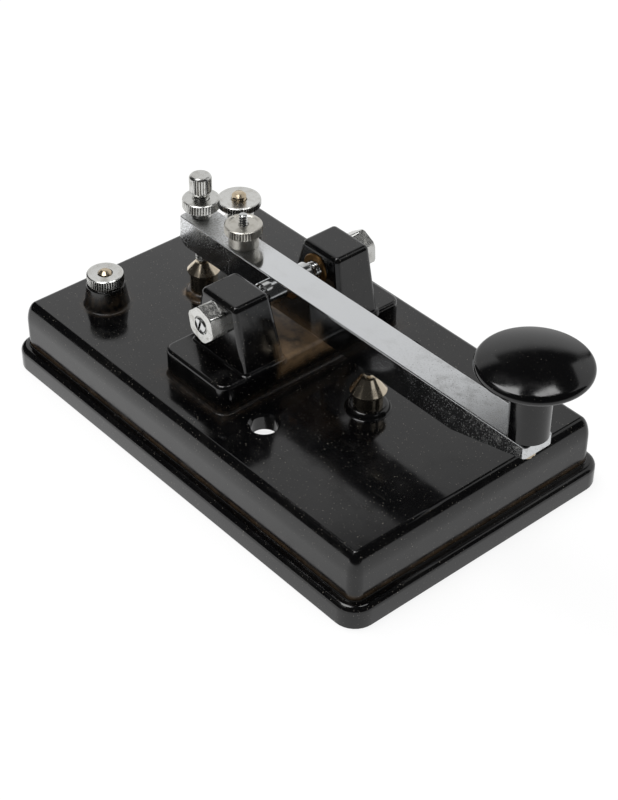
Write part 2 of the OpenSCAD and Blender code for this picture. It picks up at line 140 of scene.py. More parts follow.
def node(tree, kind, inputs, output=0, **settings):
    """Add a node with its settings and return one output. Inputs that are outputs are linked."""
    made = tree.nodes.new("ShaderNode" + kind)
    for key, value in settings.items():
        setattr(made, key, value)
    for key, value in inputs.items():
        if isinstance(value, bpy.types.NodeSocket):
            tree.links.new(value, made.inputs[key])
        else:
            made.inputs[key].default_value = linear(value) if isinstance(value, str) else value
    return made.outputs[output] if made.outputs else made


def finish_of(name, base, roughness, metallic=0.0, ior=1.5):
    """A new material with its plain values, its node tree, shader and millimetre coordinates."""
    material = bpy.data.materials.new(name)
    material.use_nodes = True
    tree = material.node_tree
    shader = tree.nodes["Principled BSDF"]
    plain = {"Base Color": linear(base), "Roughness": roughness, "Metallic": metallic, "IOR": ior}
    for socket, value in plain.items():
        shader.inputs[socket].default_value = value
    metres = node(tree, "TexCoord", {}, "Object")
    place = node(tree, "VectorMath", {0: metres, 1: [1 / MM] * 3}, operation="MULTIPLY")
    return material, tree, shader, place


def link_finish(tree, shader, colour, rough, normal):
    for source, socket in ((colour, "Base Color"), (rough, "Roughness"), (normal, "Normal")):
        tree.links.new(source, shader.inputs[socket])


def patches(tree, place, size, low, high, detail=3.0, stretch=(1, 1, 1)):
    """A mask from 0 to 1 whose blotches are about size millimetres across."""
    scaled = node(tree, "VectorMath", {0: place, 1: stretch}, operation="MULTIPLY")
    cloud = node(tree, "TexNoise", {"Vector": scaled, "Scale": 1 / size, "Detail": detail})
    return node(tree, "MapRange", {0: cloud, 1: low, 2: high}, interpolation_type="SMOOTHSTEP")


def sum_of(tree, total, *terms):
    """A value: a number or an output, plus each mask times its amount."""
    for mask, amount in terms:
        total = node(tree, "Math", {0: mask, 1: amount, 2: total}, operation="MULTIPLY_ADD")
    return total


# %% [markdown]
# The base and knob are phenolic, the first of the moulding plastics. It comes from the press with the
# mould's own polish, so it mirrors like lacquer, and age gives it faint waves, hairline rubs, grey dust
# and a brown film in the corners that no cloth reaches. It stays nearly black inside, so almost all
# that the eye sees is reflection: a refractive index of 1.6 sets how strong that is.

# %% Phenolic
BLACK = "#050506"
DUST = "#8a857b"
GRIME = "#7d6446"


def near_box(tree, place, centre, half, reach):
    """A mask that is 1 inside a box, in millimetres, and fades to 0 at reach outside it."""
    offset = node(tree, "VectorMath", {0: place, 1: centre}, operation="SUBTRACT")
    size = node(tree, "VectorMath", {0: offset}, operation="ABSOLUTE")
    outside = node(tree, "VectorMath", {0: size, 1: half}, operation="SUBTRACT")
    parts = node(tree, "SeparateXYZ", {0: outside}).node.outputs
    wide = node(tree, "Math", {0: parts[0], 1: parts[1]}, operation="MAXIMUM")
    far = node(tree, "Math", {0: wide, 1: parts[2]}, operation="MAXIMUM")
    return node(tree, "MapRange", {0: far, 1: reach, 2: 0}, interpolation_type="SMOOTHSTEP")


def near_ring(tree, place, at, r, reach):
    """A mask that is 1 on a ring of radius r on the base's top and fades to 0 at reach from it."""
    spot = node(tree, "VectorMath", {0: place, 1: (at.x, at.y, BASE_H)}, 1, operation="DISTANCE")
    off = node(tree, "Math", {0: spot, 1: r}, operation="SUBTRACT")
    size = node(tree, "Math", {0: off}, operation="ABSOLUTE")
    return node(tree, "MapRange", {0: size, 1: reach, 2: 0}, interpolation_type="SMOOTHSTEP")


def phenolic(name, dust, wave, dirt=None):
    """Black moulding. dust scales all that lies on it; wave is the height of its slow swells in mm."""
    gloss = 0.1
    material, tree, shader, place = finish_of(name, BLACK, gloss, ior=1.6)
    film = patches(tree, place, 9, 0.42, 0.75, 5)
    specks = patches(tree, place, 0.4, 0.715, 0.76, 1)
    streaks = patches(tree, place, 1.1, 0.6, 0.78, 3, (0.12, 1, 1))
    marks = sum_of(tree, 0.0, (film, 0.012 * dust), (specks, 0.55 * dust), (streaks, 0.02 * dust))
    colour = node(tree, "Mix", {0: marks, 6: BLACK, 7: DUST}, 2, data_type="RGBA")
    rubs = patches(tree, place, 5, 0.45, 0.7, 5)
    rough = sum_of(tree, gloss, (film, 0.05 * dust), (rubs, 0.07), (streaks, 0.08 * dust))
    swell = node(tree, "TexNoise", {"Vector": place, "Scale": 1 / 9, "Detail": 1.0})
    peel = node(tree, "TexNoise", {"Vector": place, "Scale": 1 / 0.9, "Detail": 3.0})
    slow = node(tree, "Bump", {"Height": swell, "Strength": 1.0, "Distance": wave * MM})
    skin = {"Height": peel, "Strength": 1.0, "Distance": 0.003 * MM, "Normal": slow}
    if dirt:
        colour, rough = dirt(tree, place, colour, rough)
    link_finish(tree, shader, colour, rough, node(tree, "Bump", skin))
    return material


def base_dirt(tree, place, colour, rough):
    """Dirt in the seam of the ledge, round the feet of what stands up and between the pillars."""
    ragged = patches(tree, place, 1.3, 0.3, 0.7, 6)
    caked = patches(tree, place, 3, 0.15, 0.65, 6)
    seam = near_box(tree, place, (BASE.x, 0, LEDGE_H + 1.2), (90, 90, 0.2), 0.9)
    foot = near_box(tree, place, (PLINTH_X, 0, BASE_H), (*PLINTH_HALF, 0.1), 3.2)
    floor = near_box(tree, place, (PLINTH_X, 0, PLINTH_TOP), (PLINTH_HALF[0] - 1, 8.5, 1), 5)
    # Where it lies, what breaks it up, how brown it is and how dull.
    kept_by = [(seam, caked, 0.16, 0.1), (foot, ragged, 0.09, 0.25), (floor, caked, 0.9, 0.4)]
    screw = (6.4, 0.12)
    feet = {"terminal_screw_near": screw, "terminal_screw_far": screw, "rear_contact": (5, 0.55)}
    for name, (r, amount) in feet.items():
        kept_by.append((near_ring(tree, place, middle_of(name), r, 1.6), ragged, amount, 0.22))
    for mask, breaks, amount, haze in kept_by:
        dirt = node(tree, "Math", {0: mask, 1: breaks}, operation="MULTIPLY")
        kept = node(tree, "Math", {0: dirt, 1: amount}, operation="MULTIPLY")
        colour = node(tree, "Mix", {0: kept, 6: colour, 7: GRIME}, 2, data_type="RGBA")
        rough = sum_of(tree, rough, (mask, haze))
    return colour, rough


LEDGE_H = 6.4
BASE_H = 20.1
PLINTH_TOP = BASE_H + 8.2
PLINTH_HALF = (12.15, 30)
PLINTH_X = BASE.x + 6.8 - PLINTH_HALF[0]
PHENOLIC = phenolic("black_phenolic_base", 1.0, 0.045, base_dirt)
KNOB_PHENOLIC = phenolic("black_phenolic_knob", 0.3, 0.02)
print("made", PHENOLIC.name, KNOB_PHENOLIC.name)


# %% [markdown]
# The lever and the knurled nuts are chromium plate over brass. Bright plate is a near mirror, a little
# blue beside nickel, and a worn one has hairlines, dull haze and small dark pits where the layer has
# let damp through to the metal below. Nickel on the posts is warmer, turned brass dulls to a soft
# yellow, the bushes are brown with age, and the hidden fastenings are plain steel. Real hairlines are a
# few thousandths of a millimetre wide; they are drawn 0.12 mm wide so that they show at all.

# %% Plated and plain metals
OXIDE = "#777368"
REAR_WEAR = (-24, -34)
FRONT_WEAR = (18, 56)


def metal(name, colour, tarnish, roughness, haze, stain, stain_size, pits, grain=(1, 1, 1), wear=None):
    """Metal with cloudy stains, fine specks, dirt in its grooves and hairlines along its grain."""
    material, tree, shader, place = finish_of(name, colour, roughness, metallic=1.0)
    cloudy = patches(tree, place, stain_size, 0.45, 0.7, 6)
    small = patches(tree, place, 0.55, 0.6, 0.7, 3)
    hair = patches(tree, place, 0.12, 0.4, 0.8, 2, grain)
    corner = node(tree, "NewGeometry", {}, "Pointiness")
    groove = node(tree, "MapRange", {0: corner, 1: 0.47, 2: 0.36})
    marks = sum_of(tree, 0.0, (cloudy, stain), (small, pits * 0.5), (groove, 0.45))
    capped = node(tree, "Math", {0: marks, 1: 0.8}, operation="MINIMUM")
    plate = node(tree, "Mix", {0: capped, 6: colour, 7: tarnish}, 2, data_type="RGBA")
    rough = sum_of(tree, roughness, (cloudy, haze), (small, pits), (hair, 0.05))
    scuffed = node(tree, "Bump", {"Height": hair, "Strength": 1.0, "Distance": 0.0008 * MM})
    if wear:
        plate, rough = wear(tree, place, plate, rough)
    link_finish(tree, shader, plate, rough, scuffed)
    return material


def lever_wear(tree, place, plate, rough):
    """Clean in the middle, stained and dull where the nuts stand and pitted beside the knob."""
    x = node(tree, "SeparateXYZ", {0: place})
    rear, front = (node(tree, "MapRange", {0: x, 1: a, 2: b}) for a, b in (REAR_WEAR, FRONT_WEAR))
    up = node(tree, "SeparateXYZ", {0: node(tree, "NewGeometry", {}, "Normal")}, 2)
    top = node(tree, "Math", {0: rear, 1: up}, operation="MULTIPLY", use_clamp=True)
    crust = patches(tree, place, 0.5, 0.4, 0.62, 6)
    pitted = patches(tree, place, 0.42, 0.57, 0.68, 4)
    cloudy = patches(tree, place, 3, 0.45, 0.7, 6)
    pairs = ((rear, crust), (front, pitted), (front, cloudy))
    worn, eaten, dull = (node(tree, "Math", {0: a, 1: b}, operation="MULTIPLY") for a, b in pairs)
    marks = sum_of(tree, 0.0, (top, 0.12), (worn, 0.35), (eaten, 0.55), (dull, 0.22))
    colour = node(tree, "Mix", {0: marks, 6: plate, 7: OXIDE}, 2, data_type="RGBA")
    rough = sum_of(tree, rough, (top, 0.3), (worn, 0.16), (front, 0.04), (eaten, 0.35), (dull, 0.1))
    return colour, rough


# Colour, colour of its stains, roughness, haze, amount of stain, its size in millimetres, pits.
ALONG_BAR = (0.05, 1, 1)
POLISH = ("#e6e8ea", "#a5a199", 0.07, 0.03, 0.06, 6, 0.05)
LEVER_CHROME = metal("chrome_plate_lever", *POLISH, ALONG_BAR, lever_wear)
CHROME = metal("chrome_plate_turned", "#d8d8d5", "#8f8674", 0.2, 0.12, 0.22, 1.6, 0.07)
STAINED = metal("chrome_plate_stained", "#d2cfc7", "#8c8474", 0.3, 0.1, 0.3, 2.2, 0.05)
BRIGHT = metal("chrome_plate_bright", "#d6d7d7", "#8f8674", 0.12, 0.1, 0.12, 1.6, 0.03)
NICKEL = metal("nickel_plate", "#dccfba", "#857a66", 0.14, 0.12, 0.25, 2, 0.06)
BRASS = metal("aged_brass", "#cbbba2", "#8b7659", 0.14, 0.1, 0.25, 1.5, 0.04)
BRONZE = metal("bronze_bush", "#8a6a42", "#3c2c1c", 0.36, 0.15, 0.6, 1.5, 0.2)
STEEL = metal("mild_steel", "#a9a7a3", "#6b5443", 0.26, 0.15, 0.5, 2.2, 0.3)
SPRING_STEEL = metal("spring_steel", "#a4a6a8", "#5f5245", 0.25, 0.1, 0.4, 1.5, 0.1)
print("finishes", [m.name for m in bpy.data.materials])


# %% [markdown]
# Most of the hardware was turned on a lathe, and the same idea makes its mesh: a profile of radius and
# height is spun round an axis. A shape function may change the radius with the angle, which is how one
# small tool also cuts knurls, threads and hexagons.

# %% The lathe
def upright(at):
    """A place whose height runs straight up from a point of the floor."""
    return Matrix.Translation((at.x, at.y, 0))


def along_y(at, side):
    """A place whose height runs along the Y axis, away from the lever's centre line."""
    return Matrix.Translation((at.x, 0, at.z)) @ Matrix.Rotation(-side * TURN / 4, 4, "X")


def spin(bm, profile, place, sides=96, shape=None, ring=False, start=0.0):
    """Add a turned solid. profile is (radius, height) pairs; ring joins its last point to its first."""
    loops = []
    for r, z in profile:
        if r == 0:
            loops.append([bm.verts.new(place @ Vector((0, 0, z)))])
            continue
        loop = []
        for i in range(sides):
            a = start + TURN * i / sides
            radius = shape(r, z, a) if shape else r
            loop.append(bm.verts.new(place @ Vector((radius * math.cos(a), radius * math.sin(a), z))))
        loops.append(loop)
    pairs = list(zip(loops, loops[1:]))
    if ring:
        pairs.append((loops[-1], loops[0]))
    for low, high in pairs:
        for i in range(sides):
            j = i + 1
            corners = (low[i % len(low)], low[j % len(low)], high[j % len(high)], high[i % len(high)])
            bm.faces.new(list(dict.fromkeys(corners)))


def arc(centre, radius, first, last, steps=6):
    """Profile points along an arc, angles in degrees from straight out towards straight up."""
    angles = [math.radians(first + (last - first) * i / steps) for i in range(steps + 1)]
    return [(centre[0] + radius * math.cos(a), centre[1] + radius * math.sin(a)) for a in angles]


def quarter(steps):
    """Steps round a quarter circle as its distances from two sides of the square that it lies in."""
    angles = [math.radians(90 / steps * i) for i in range(steps + 1)]
    return [(1 - math.cos(a), 1 - math.sin(a)) for a in angles]


def climb(r, low, high, step):
    """Points up a straight side, close enough together for a thread to be cut in it."""
    count = max(1, round((high - low) / step))
    return [(r, low + (high - low) * i / count) for i in range(count + 1)]


def zigzag(t):
    """0 at whole numbers and 1 halfway between them."""
    return 1 - abs(2 * (t % 1) - 1)


def knurl(teeth, depth, low, high, from_r):
    """A straight knurl between two heights, on whatever lies outside from_r."""
    def cut(r, z, a):
        inside = low <= z <= high and r > from_r
        return r - depth * zigzag(a / TURN * teeth) if inside else r
    return cut


def thread(pitch, depth, low, high):
    """A thread between two heights: the groove climbs one pitch a turn."""
    def cut(r, z, a):
        fade = min(1, max(0, (z - low) / pitch), max(0, (high - z) / pitch * 6))
        return r - depth * fade * zigzag(z / pitch - a / TURN)
    return cut


def hexagon(across, from_r):
    """Cuts a turned blank down to six flats and takes the last 0.05 mm off their corners."""
    def cut(r, z, a):
        if r < from_r:
            return r
        off = (a + TURN / 12) % (TURN / 6) - TURN / 12
        flat = across / 2 / math.cos(TURN / 12 - abs(off))
        return min(r, flat, across / math.sqrt(3) - 0.05)
    return cut


# %% [markdown]
# Every piece goes through one door: its normals are put right, it is scaled to metres, its edges are
# smooth except where it really has a corner, it is told which body it moves with and which finish it
# takes, and the solids of the imported model that it stands for are hidden.

# %% Handing a mesh over
def add_piece(name, bm, material, body, stands_for, sharp=34):
    bmesh.ops.recalc_face_normals(bm, faces=bm.faces)
    bmesh.ops.scale(bm, vec=(MM, MM, MM), verts=bm.verts)
    mesh = bpy.data.meshes.new(name)
    bm.to_mesh(mesh)
    bm.free()
    mesh.materials.append(material)
    mesh.shade_smooth()
    mesh.set_sharp_from_angle(angle=math.radians(sharp))
    piece = new_object(name, mesh)
    if body:
        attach(piece, body)
    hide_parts(stands_for)
    print(name, "faces", len(mesh.polygons))
    return piece


def turned(name, profile, place, material, body, slot, stands_for, sharp=34, **lathe):
    """Spin one profile and hand it over as a piece."""
    bm = bmesh.new()
    spin(bm, profile, place, **lathe)
    add_piece(name, bm, material, body, stands_for, sharp)


def flat_shading(piece):
    """Keep large flat faces looking flat beside small rounded ones."""
    weighted = piece.modifiers.new("weighted normals", "WEIGHTED_NORMAL")
    weighted.keep_sharp = True
    weighted.weight = 100


def computed(thing):
    """A new bmesh of an object as its modifiers or its curve settings make it."""
    graph = bpy.context.evaluated_depsgraph_get()
    bm = bmesh.new()
    bm.from_mesh(bpy.data.meshes.new_from_object(thing.evaluated_get(graph)))
    return bm


def boolean(bm, other, operation):
    """Join two meshes or cut one from the other, and return the result as a new bmesh."""
    objects = []
    for source in (bm, other):
        bmesh.ops.recalc_face_normals(source, faces=source.faces)
        mesh = bpy.data.meshes.new("working")
        source.to_mesh(mesh)
        source.free()
        objects.append(new_object("working", mesh))
    modifier = objects[0].modifiers.new("cut", "BOOLEAN")
    modifier.operation = operation
    modifier.solver = "EXACT"
    modifier.object = objects[1]
    result = computed(objects[0])
    for working in objects:
        bpy.data.objects.remove(working)
    return result


# %% [markdown]
# The base is a deep tray turned upside down: a flange round the foot, a taller tier set back from it, a
# plinth across the middle and two pillars that carry the pivot. Each is a stack of rounded rectangles
# joined into a skin, because then every rounding and every fillet is only another rectangle.

# %% Stacked outlines
SHARP = 0.15


def outline(centre, half, corner, steps=6):
    """Points round a rectangle with rounded corners, in millimetres."""
    points = []
    for number, (sx, sy) in enumerate(((1, 1), (-1, 1), (-1, -1), (1, -1))):
        for i in range(steps + 1):
            a = TURN / 4 * (number + i / steps)
            x = centre[0] + sx * (half[0] - corner) + corner * math.cos(a)
            y = centre[1] + sy * (half[1] - corner) + corner * math.sin(a)
            points.append((x, y))
    return points


def wrap(bm, low, high):
    """Join two rings of as many points with a band of faces."""
    for i in range(len(low)):
        j = (i + 1) % len(low)
        bm.faces.new((low[i], low[j], high[j], high[i]))


def stack(bm, layers):
    """Skin over (outline, height) pairs, closed with a face at each end."""
    rings = [[bm.verts.new((x, y, z)) for x, y in points] for points, z in layers]
    for low, high in zip(rings, rings[1:]):
        wrap(bm, low, high)
    bm.faces.new(rings[0][::-1])
    bm.faces.new(rings[-1])


def block(centre, half, corner, low, high, edge, foot=0.0):
    """A block with rounded uprights, a rounded top edge and, where foot isn't 0, a fillet at its foot."""
    def layer(inset, z):
        grown = (half[0] - inset, half[1] - inset)
        return outline(centre, grown, max(corner - inset, SHARP)), z

    layers = [layer(-foot, low)]
    if foot:
        layers += [layer(-foot * s, low + 0.95 + foot * c) for c, s in quarter(4)]
    bm = bmesh.new()
    stack(bm, layers + [layer(edge * c, high - edge * s) for c, s in quarter(5)])
    return bm


# %% The shell of the base
LEDGE_EDGE = 1.6
LEDGE_CORNER = 6
SEAM_R = 0.4
TIER_SET_BACK = 2.7
TIER_EDGE = (2.8, 6.1)
TIER_CORNER = 3
BASE_HALF = (high_of("base") - low_of("base")) / 2
TIER_HALF = (BASE_HALF.x - TIER_SET_BACK, BASE_HALF.y - TIER_SET_BACK)


def shell():
    """Flange and tier as one skin: foot edge, flange, its rounded top, a small fillet and the tier."""
    layers = []

    def add(inset, corner, z):
        half = (BASE_HALF.x - inset, BASE_HALF.y - inset)
        layers.append((outline((BASE.x, 0), half, corner, 8), z))

    for inset, z in ((0.45, 0), (0.12, 0.12), (0, 0.45)):
        add(inset, LEDGE_CORNER - inset, z)
    for c, s in quarter(6):
        add(LEDGE_EDGE * c, LEDGE_CORNER - LEDGE_EDGE * c, LEDGE_H - LEDGE_EDGE * s)
    for c, s in quarter(3):
        add(TIER_SET_BACK - SEAM_R * s, TIER_CORNER + SEAM_R * s, LEDGE_H + SEAM_R * c)
    for c, s in quarter(12):
        inset = TIER_EDGE[0] * c
        add(TIER_SET_BACK + inset, TIER_CORNER - inset, BASE_H - TIER_EDGE[1] * s)
    bm = bmesh.new()
    stack(bm, layers)
    return bm


# %% Plinth, pillars and bosses
PILLAR_TOP = high_of("base").z
PILLAR_FOOT = ((BASE.x - 15.1, BASE.x + 6.3), (9.2, 22.2))
PILLAR_HEAD = ((BASE.x - 11.1, BASE.x + 2.7), (10.7, 22.2))
PILLAR_EDGE = 1.5
FILLET = 0.8
SUNK = 0.05
BOSS_H = 1.6


def pillar(bm, side):
    """One pillar, leaning in on three faces, from inside the plinth to its rounded top."""
    straight = PILLAR_TOP - PILLAR_EDGE

    def layer(inset, z):
        t = (min(z, straight) - PLINTH_TOP) / (straight - PLINTH_TOP)
        pairs = zip(PILLAR_FOOT, PILLAR_HEAD)
        (x0, x1), (y0, y1) = [[foot + (head - foot) * t for foot, head in zip(*pair)] for pair in pairs]
        half = ((x1 - x0) / 2 - inset, (y1 - y0) / 2 - inset)
        return outline(((x0 + x1) / 2, side * (y0 + y1) / 2), half, max(PILLAR_EDGE - inset, SHARP)), z

    layers = [layer(-FILLET, PLINTH_TOP - 1)]
    layers += [layer(-FILLET * s, PLINTH_TOP - SUNK + FILLET * c) for c, s in quarter(4)]
    layers += [layer(PILLAR_EDGE * c, PILLAR_TOP - PILLAR_EDGE * s) for c, s in quarter(6)]
    stack(bm, layers)


def boss(bm, name, foot_r, top_r, top, edge):
    """A raised ring that a post or terminal stands in, with a fillet at its foot."""
    foot = [(foot_r + FILLET * s, BASE_H - SUNK + FILLET * c) for c, s in quarter(4)]
    profile = [(0, BASE_H - 1), (foot_r + FILLET, BASE_H - 1)] + [p for p in foot if p[1] < top - SUNK]
    profile += arc((top_r - edge, top - edge), edge, 0, 90) + [(0, top)]
    spin(bm, profile, upright(middle_of(name)), 72)


def raised():
    bm = bmesh.new()
    for side in (-1, 1):
        pillar(bm, side)
    for name in ("terminal_screw_near", "terminal_screw_far"):
        boss(bm, name, 5.9, 5.2, low_of("terminal_washers").z, 0.5)
    for name, r in (("rear_contact", 4.9), ("front_contact", 5.5)):
        boss(bm, name, r, r, BASE_H + BOSS_H, 1.2)
    return bm


# %% Hollows and holes
WALL = 3.2
TOP_WALL = 4.5
CEILING = BASE_H - TOP_WALL
PAD_H = 1.0
PAD_R = 6.0
SHANK_R = 2.05
MOUNT = (BASE.x + 15.4, 23.9)
MOUNT_R = 3.5
BUSH_R = radius_of("pivot_bushes")
STANDING = ("terminal_screw_near", "terminal_screw_far", "rear_contact", "spring_anchor", "front_contact")


def column(bm, at, r, low, high, rim=0.0):
    """A round cutter or pad whose top is rim wider than its shank."""
    profile = [(0, low), (r, low), (r, high - 0.6), (r + rim, high), (r + rim, high + 1), (0, high + 1)]
    spin(bm, profile, upright(at), 48)


def holes():
    bm = bmesh.new()
    for name in STANDING:
        column(bm, middle_of(name), SHANK_R, CEILING - 3, BASE_H + 8)
    for side in (-1, 1):
        column(bm, Vector((MOUNT[0], side * MOUNT[1])), MOUNT_R, CEILING - 3, BASE_H, 0.6)
        # The bush's seat, then a clear hole for the screw through the pillar's outer face.
        bore = [(0, 7.4), (BUSH_R, 7.4), (BUSH_R, 20.5), (2.65, 20.5), (2.65, 26), (0, 26)]
        spin(bm, bore, along_y(PIVOT, side), 48)
    return bm


# %% The base put together
plinth = block((PLINTH_X, 0), PLINTH_HALF, 3, BASE_H - 1, PLINTH_TOP, 1, FILLET)
under = block((BASE.x, 0), [h - WALL for h in TIER_HALF], 2, -1, CEILING, 1)
half = [h - WALL for h in PLINTH_HALF]
inside = block((PLINTH_X, 0), half, 2, CEILING - 2, PLINTH_TOP - TOP_WALL, 1)
pads = bmesh.new()
for name in STANDING:
    column(pads, middle_of(name), PAD_R, CEILING - PAD_H, CEILING + 0.4)
bm = shell()
for other, operation in ((plinth, "UNION"), (raised(), "UNION"), (under, "DIFFERENCE"),
                         (inside, "DIFFERENCE"), (pads, "UNION"), (holes(), "DIFFERENCE")):
    bm = boolean(bm, other, operation)
flat_shading(add_piece("base_moulding", bm, PHENOLIC, "base", "base", 30))


# %% [markdown]
# The knob was turned or pressed to a dome with a rolled rim, a hollow cone under it and a flare into the
# neck. The cone is the straight line that touches both the rim's circle and the flare's.

# %% The knob
KNOB = middle_of("knob")
KNOB_TOP = high_of("knob").z
RIM_R = 1.4
DOME_H = 3.5
NECK_R = 4.9
FLARE = (8.4, LEVER_TOP + 11.5)
FLARE_R = 3.5
KNOB_BORE = 1.55


def knob_profile():
    rim = (radius_of("knob") - RIM_R, KNOB_TOP - DOME_H)
    dome_r = (rim[0] ** 2 + DOME_H ** 2 - RIM_R ** 2) / (2 * (DOME_H - RIM_R))
    reach = math.degrees(math.asin(rim[0] / (dome_r - RIM_R)))
    run = (rim[0] - FLARE[0], rim[1] - FLARE[1])
    between = math.degrees(math.acos(-(FLARE_R + RIM_R) / math.hypot(*run)))
    lean = math.degrees(math.atan2(run[1], run[0])) - between
    points = [(0, LEVER_TOP + 10), (KNOB_BORE, LEVER_TOP + 10), (KNOB_BORE, LEVER_TOP)]
    points += [(NECK_R - 0.3, LEVER_TOP), (NECK_R, LEVER_TOP + 0.3)]
    points += climb(NECK_R, LEVER_TOP + 0.6, FLARE[1], 2) + arc(FLARE, FLARE_R, 180, 180 + lean, 12)[1:]
    points += arc(rim, RIM_R, lean, 90 - reach, 18)
    return points + arc((0, KNOB_TOP - dome_r), dome_r, 90 - reach, 90, 24)[1:-1] + [(0, KNOB_TOP)]


over_base = Matrix.Translation((KNOB.x, 0, 0))
turned("knob_dome", knob_profile(), over_base, KNOB_PHENOLIC, "lever", "bakelite", "knob", sides=144)


# %% [markdown]
# The lever is a milled bar, straight on top and tapering underneath towards the knob, with its corners
# broken by the polishing wheel. It is drawn from its side, given its width, bevelled, and drilled.

# %% The lever
LEVER_W = (high_of("lever").y - low_of("lever").y) / 2
TAPER_X = BASE.x + 60
FRONT_DEPTH = 3.3
REAR_R = 3
SHAFT_R = (high_of("trunnion").z - low_of("trunnion").z) / 2


def lever_bar():
    x0, x1 = low_of("lever").x, high_of("lever").x
    side = [(x1, LEVER_TOP), (x0, LEVER_TOP)]
    side += [(x0 + REAR_R * c, LEVER_BOTTOM + REAR_R * s) for c, s in quarter(6)]
    side += [(TAPER_X, LEVER_BOTTOM), (x1, LEVER_TOP - FRONT_DEPTH)]
    bm = bmesh.new()
    near, far = ([bm.verts.new((x, y, z)) for x, z in side] for y in (-LEVER_W, LEVER_W))
    bm.faces.new(near)
    bm.faces.new(far[::-1])
    wrap(bm, near, far)
    bmesh.ops.recalc_face_normals(bm, faces=bm.faces)
    upright_edges = []
    for edge in bm.edges:
        run = edge.verts[0].co - edge.verts[1].co
        if run.length < 10 and abs(run.x) < 0.01 and abs(run.y) < 0.01:
            upright_edges.append(edge)
    bmesh.ops.bevel(bm, geom=upright_edges, offset=0.9, segments=4, profile=0.5, affect="EDGES")
    corners = [e for e in bm.edges if e.is_manifold and e.calc_face_angle() > math.radians(40)]
    bmesh.ops.bevel(bm, geom=corners, offset=0.3, segments=3, profile=0.5, affect="EDGES")
    return bm


def lever_holes():
    """Holes for the stop screw, the stud, the contact's rivet, the knob's screw and the cross shaft."""
    bm = bmesh.new()
    under, over, seat = 30, LEVER_TOP + 1, 40.9
    head = high_of("knob_screw").x - KNOB.x + 0.5
    for name, *steps in (
            ("rear_contact", (SHANK_R, under), (SHANK_R, over)),
            ("tension_stud", (1.5, under), (1.5, over)),
            ("front_contact", (1.5, under), (1.5, LEVER_BOTTOM + 4)),
            ("knob", (head, under), (head, seat), (KNOB_BORE, seat), (KNOB_BORE, over))):
        profile = [(0, under), *steps, (0, steps[-1][1])]
        spin(bm, profile, Matrix.Translation((middle_of(name).x, 0, 0)), 48)
    spin(bm, [(0, -9), (SHAFT_R, -9), (SHAFT_R, 9), (0, 9)], along_y(PIVOT, 1), 64)
    return bm


lever = boolean(lever_bar(), lever_holes(), "DIFFERENCE")
flat_shading(add_piece("lever_bar", lever, LEVER_CHROME, "lever", "lever", 30))


# %% [markdown]
# A knurl is rolled into a nut's rim so that dry fingers can turn it. The teeth are straight, about
# 0.75 mm apart, and the dish in the top face keeps a bright ring round the screw.

# %% Knurled nuts and the adjusting screw
STOP_PITCH = 0.7
STOP_TEETH = 26


def knurled(name, rim_low, hub_r, bore, dish, teeth, hub_bead=0.0, finish=CHROME):
    """A nut with a knurled rim above a plain hub. Rim radius and ends come from its solid."""
    at, low, high = stand_of(name)
    low = min(low + 0.02, rim_low)
    rim = radius_of(name)
    c = 0.4
    profile = [(bore, low), (hub_r, low)]
    if rim_low > low + 0.5:
        profile += [(hub_r + hub_bead, low + 0.5), (hub_r, low + 0.9)] if hub_bead else []
        profile += [(hub_r, rim_low - 0.3), (hub_r + 0.3, rim_low)]
    profile += [(rim - 0.25, rim_low), (rim, rim_low + 0.2), (rim, high - c), (rim - 0.12, high - 0.15)]
    profile += [(rim - c, high), (rim - 0.9, high), (rim - 1.3, high - dish)]
    profile += [(bore + 0.35, high - dish), (bore, high - dish - 0.3)]
    grip = knurl(teeth, 0.32, rim_low + 0.1, high - c + 0.01, rim - 0.1)
    turned(name + "_knurled", profile, upright(at), finish, name, "chrome", name, 24,
           sides=teeth * 6, shape=grip, ring=True)


def make_back_stop():
    """Long screw with a knurled grip, a neck, a thread through the lever and a rounded tip."""
    name = "back_stop_screw"
    at, low, top = stand_of(name)
    grip_r, shank = radius_of(name) + 0.1, 2.0
    neck_z, grip_low = 50.7, 52.4
    thread_low, thread_high = low + 1, LEVER_TOP + 6
    profile = [(0, low), (1.1, low), (1.6, low + 0.3), (shank, low + 0.8)]
    profile += climb(shank, thread_low, thread_high, STOP_PITCH / 6)
    profile += [(shank, neck_z), (grip_r - 0.1, grip_low - 0.15), (grip_r, grip_low + 0.1)]
    profile += [(grip_r, top - 0.75), (grip_r - 0.12, top - 0.5), (grip_r - 0.35, top - 0.2)]
    profile += [(grip_r - 0.7, top), (0, top)]
    cut = thread(STOP_PITCH, 0.3, thread_low, thread_high)
    grip = knurl(STOP_TEETH, 0.3, grip_low + 0.05, top - 0.7, shank + 0.3)

    def shape(r, z, a):
        return cut(r, z, a) if z <= thread_high else grip(r, z, a)

    turned(name + "_turned", profile, upright(at), CHROME, name, "chrome", name, 24,
           sides=STOP_TEETH * 6, shape=shape)


knurled("back_stop_nut", 47.3, 2.45, SHANK_R, 0.1, 42, 0.3)
knurled("tension_nut", 48.1, 3.9, 1.1, 0.2, 42, finish=STAINED)
make_back_stop()


# %% [markdown]
# The terminals take a bare wire under a knurled nut. The nearer nut is screwed right down on its two
# washers, the farther one is left standing on its tall hub.

